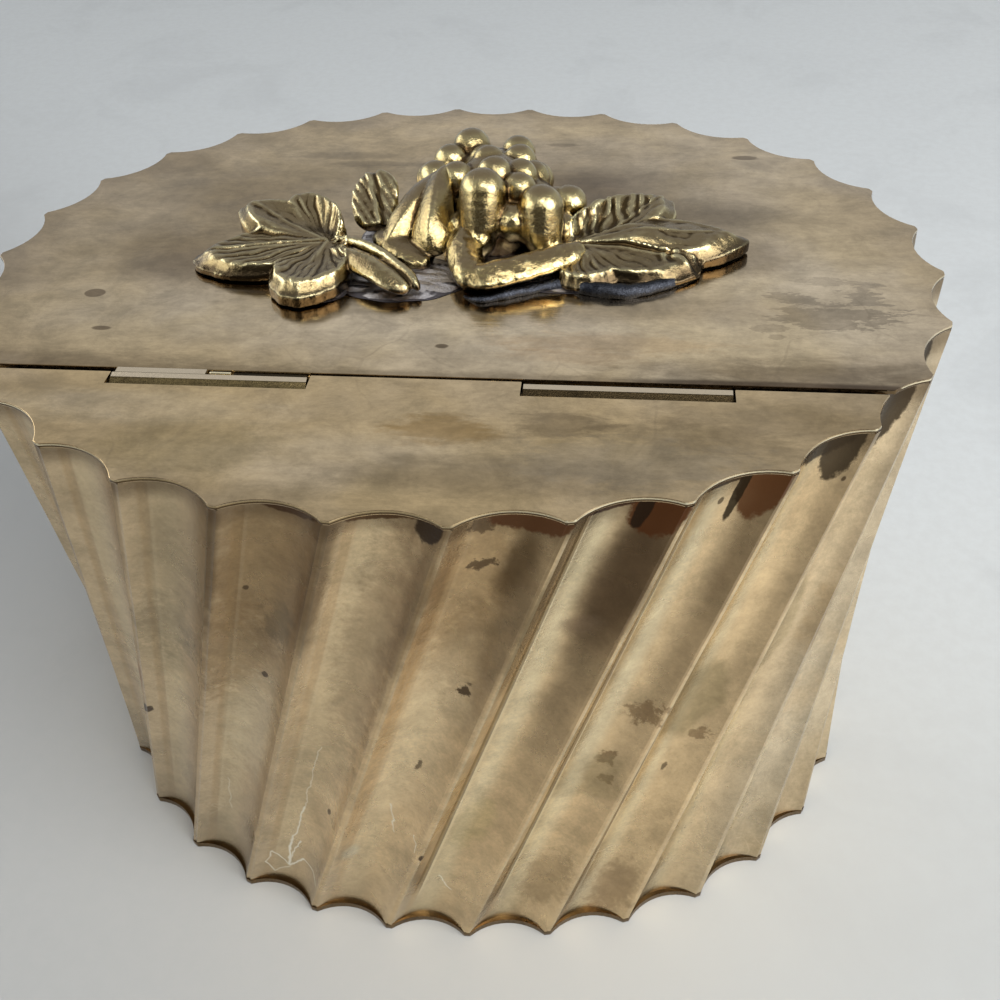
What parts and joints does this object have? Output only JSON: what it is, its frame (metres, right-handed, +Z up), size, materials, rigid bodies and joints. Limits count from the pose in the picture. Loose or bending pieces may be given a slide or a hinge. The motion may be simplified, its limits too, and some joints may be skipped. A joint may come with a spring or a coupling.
{
  "type": "hinged trinket box",
  "caption": "Oval trinket box with a swirled fluted wall, a flat scalloped lid on flush rear hinges and a cast grape and leaf ornament as its handle.",
  "frame": {"origin": "centre of the bottom of the box, on the surface it stands on", "axes": "+X along the long way of the oval, +Y to the hinge side, +Z up; the lid opens from the -Y side"},
  "size_m": [0.127, 0.104, 0.0961],
  "materials": {
    "sheet_brass": "aged, brushed satin with brown tarnish",
    "cast_brass": "rubbed bright on the high parts, dark in the hollows",
    "hinge_brass": "filed satin top, dark brown tarnish on the rounded parts",
    "pin_brass": "drawn wire, worn smooth",
    "solder": "dull grey, smeared"
  },
  "bodies": {
    "box": {"body_wall": "sheet_brass", "base_plate": "sheet_brass", "rear_plate": "sheet_brass", "left_hinge_bracket": "hinge_brass", "left_hinge_pin": "pin_brass", "right_hinge_bracket": "hinge_brass", "right_hinge_pin": "pin_brass"},
    "lid": {"lid_plate": "sheet_brass", "ornament_solder": "solder", "grape_bunch": "cast_brass", "vine_stem": "cast_brass", "right_leaf": "cast_brass", "left_leaf": "cast_brass", "folded_leaf": "cast_brass", "small_leaf": "cast_brass", "left_hinge_knuckle": "hinge_brass", "right_hinge_knuckle": "hinge_brass"}
  },
  "joints": [
    {"name": "lid_hinge", "type": "hinge", "parent": "box", "child": "lid", "pos_m": [0, 0.0281, 0.083], "axis": [-1, 0, 0], "range_deg": [0, 105]}
  ]
}
